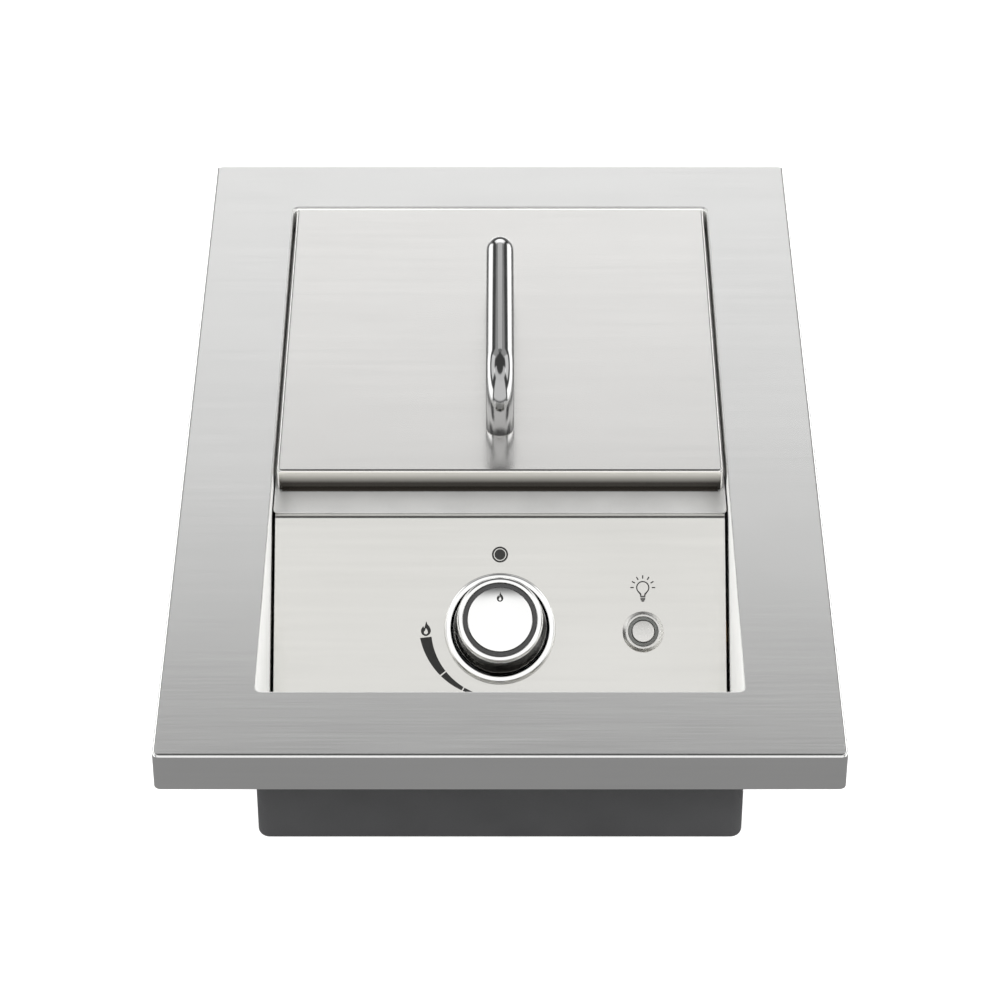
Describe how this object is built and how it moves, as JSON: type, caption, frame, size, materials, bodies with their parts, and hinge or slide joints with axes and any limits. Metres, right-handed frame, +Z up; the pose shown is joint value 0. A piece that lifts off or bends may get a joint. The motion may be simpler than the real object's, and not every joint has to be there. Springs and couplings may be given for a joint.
{
  "type": "infrared burner",
  "caption": "Drop-in infrared side burner: stainless frame, lift-off lid with a bar handle, tiled burner, gas valve, knob and push switch on a sloping panel in a well.",
  "frame": {"origin": "on the casing's underside, under the centre of the top frame", "axes": "+X to the user's right, +Y away from the user, +Z up"},
  "size_m": [0.375, 0.59, 0.1525],
  "materials": {
    "brushed_stainless": "fine brushed grain across the width",
    "casing_coat": "satin dark grey powder coat",
    "tub_stainless": "mill finish stainless",
    "grid_steel": "polished round rod",
    "burner_steel": "pressed stainless, dull",
    "zinc_sheet": "zinc plated sheet",
    "tile_ceramic": "perforated, chalky",
    "gasket_fibre": "pressed ceramic fibre",
    "valve_brass": "machined",
    "valve_zinc": "zinc plated",
    "pipe_aluminium": "drawn tube",
    "polished_bar": "polished stainless bar",
    "bezel_chrome": "bright plated",
    "knob_chrome": "satin plated flank with a polished cap",
    "ring_black": "moulded, fine matt",
    "light_ring": "smoked clear moulding",
    "electric_black": "moulded",
    "insulator": "glazed alumina",
    "spark_wire": "heat darkened wire",
    "lead_rubber": "silicone sleeved",
    "screw_steel": "stainless fastener"
  },
  "bodies": {
    "housing": {"top_frame": "brushed_stainless", "frame_collar": "brushed_stainless", "control_panel": "brushed_stainless", "outer_casing": "casing_coat", "firebox": "tub_stainless", "support_rail_left": "tub_stainless", "support_rail_right": "tub_stainless", "cooking_grid": "grid_steel", "burner_body": "burner_steel", "tile_frame": "burner_steel", "venturi_tube": "burner_steel", "burner_bracket_left": "burner_steel", "burner_bracket_right": "burner_steel", "heat_shield": "zinc_sheet", "electrode_bracket": "zinc_sheet", "burner_tile_left": "tile_ceramic", "burner_tile_right": "tile_ceramic", "tile_gasket": "gasket_fibre", "valve_body": "valve_brass", "injector": "valve_brass", "inlet_fitting": "valve_brass", "fitting_locknut": "valve_brass", "valve_bonnet": "valve_zinc", "valve_nut": "valve_zinc", "spindle_spring": "valve_zinc", "switch_nut": "valve_zinc", "socket_nut": "valve_zinc", "manifold_pipe": "pipe_aluminium", "knob_bezel": "bezel_chrome", "switch_barrel": "bezel_chrome", "bezel_light_ring": "light_ring", "switch_light_ring": "light_ring", "switch_base": "electric_black", "power_socket": "electric_black", "spark_module": "electric_black", "ignition_electrode": "insulator", "electrode_tip": "spark_wire", "supply_lead": "lead_rubber", "ring_lead": "lead_rubber", "ignition_lead": "lead_rubber", "casing_screws": "screw_steel", "firebox_screws": "screw_steel", "burner_screws": "screw_steel", "shutter_screw": "screw_steel", "panel_screws": "screw_steel", "bonnet_screws": "screw_steel", "electrode_screw": "screw_steel", "module_screws": "screw_steel"},
    "lid": {"lid": "brushed_stainless", "lid_handle": "polished_bar", "handle_washers": "screw_steel", "handle_screws": "screw_steel"},
    "push_collar": {"spindle_collar": "valve_zinc"},
    "knob": {"control_knob": "knob_chrome", "knob_ring": "ring_black", "knob_cap": "knob_chrome", "valve_spindle": "valve_zinc"},
    "plug": {"valve_plug": "valve_brass"},
    "button": {"switch_button": "bezel_chrome"},
    "shutter": {"air_shutter": "zinc_sheet"}
  },
  "joints": [
    {"name": "lid_lift", "type": "slide", "parent": "housing", "child": "lid", "axis": [0, 0, 1], "range_m": [0, 0.15]},
    {"name": "knob_push", "type": "slide", "parent": "housing", "child": "push_collar", "axis": [0, 0.6665, -0.7455], "range_m": [0, 0.0032], "stiffness_N_per_m": 1500, "springref_m": -0.002, "deforming": ["spindle_spring"]},
    {"name": "knob_turn", "type": "hinge", "parent": "push_collar", "child": "knob", "pos_m": [0, -0.1152, 0.04828], "axis": [0, -0.6665, 0.7455], "range_deg": [0, 180]},
    {"name": "plug_turn", "type": "hinge", "parent": "housing", "child": "plug", "pos_m": [0, -0.1152, 0.04828], "axis": [0, -0.6665, 0.7455], "range_deg": [0, 180]},
    {"name": "switch_press", "type": "slide", "parent": "housing", "child": "button", "axis": [0, 0.6665, -0.7455], "range_m": [0, 0.0015], "stiffness_N_per_m": 800, "springref_m": -0.001},
    {"name": "shutter_turn", "type": "hinge", "parent": "housing", "child": "shutter", "pos_m": [0, -0.069, 0.03], "axis": [0, 1, 0], "range_deg": [0, 40]}
  ],
  "couplings": [
    {"joint": "plug_turn", "follows": "knob_turn", "ratio": 1}
  ]
}
